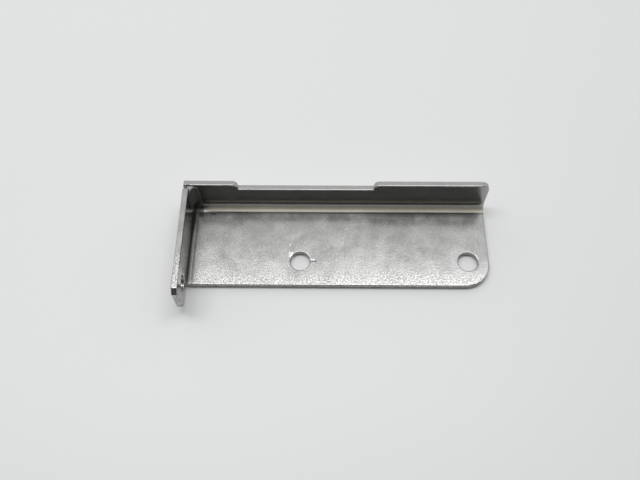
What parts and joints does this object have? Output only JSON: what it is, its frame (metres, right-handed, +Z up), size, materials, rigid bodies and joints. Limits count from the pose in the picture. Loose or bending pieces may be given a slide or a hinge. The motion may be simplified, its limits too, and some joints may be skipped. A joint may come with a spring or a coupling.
{
  "type": "gas spring mount bracket",
  "caption": "Folded sheet steel bracket: base plate with screw holes, notched back flange and a side flange that ends in a drilled tab for a gas spring's ball stud.",
  "frame": {"origin": "centre of the bounding box in X and Y, on the underside of the base plate", "axes": "+X along the plate, away from the side flange; +Y from the tab towards the back flange; +Z up, out of the plate"},
  "size_m": [0.153, 0.061, 0.023],
  "materials": {
    "bracket": "bare rolled steel sheet, satin, with a fine mottled grain"
  },
  "bodies": {
    "root": {"bracket": "bracket"}
  },
  "joints": []
}
